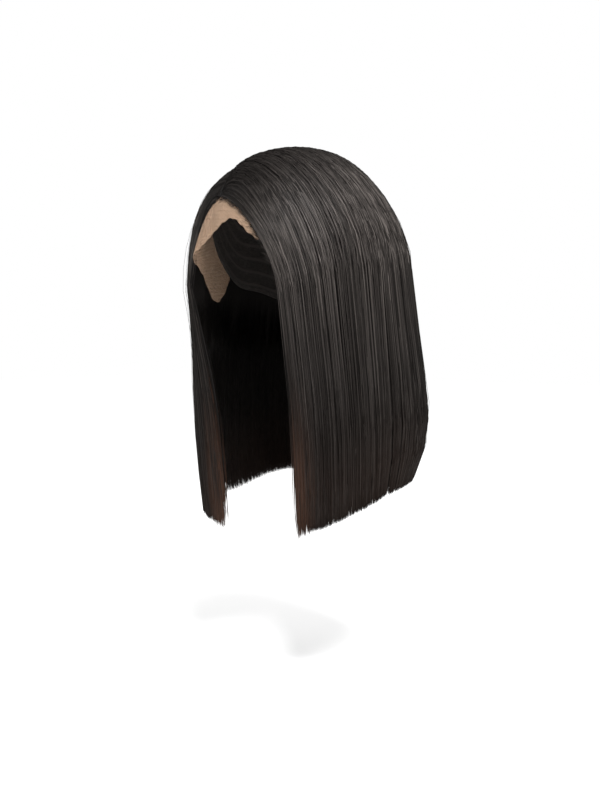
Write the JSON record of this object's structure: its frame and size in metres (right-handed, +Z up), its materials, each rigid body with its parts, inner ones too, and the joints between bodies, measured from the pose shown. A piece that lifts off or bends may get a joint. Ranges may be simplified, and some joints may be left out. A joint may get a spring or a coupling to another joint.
{
  "type": "lace front wig",
  "caption": "Long straight bob wig with a side part: dark hair on a net cap that is open below for the head, with a sheer lace panel along the front hairline.",
  "frame": {"origin": "inside top of the cap, where the crown of the wearer's head sits", "axes": "+Z up along the height of the head, the face looks along -Y, +X towards the wearer's left"},
  "size_m": [0.2257, 0.2211, 0.37],
  "materials": {
    "cap_net": "matt stretch net",
    "lace": "sheer matt net",
    "hair": "straight fibres with a soft sheen"
  },
  "bodies": {
    "root": {"cap": "cap_net", "lace_front": "lace", "hair_left": "hair", "hair_right": "hair", "hair_back": "hair"}
  },
  "joints": []
}
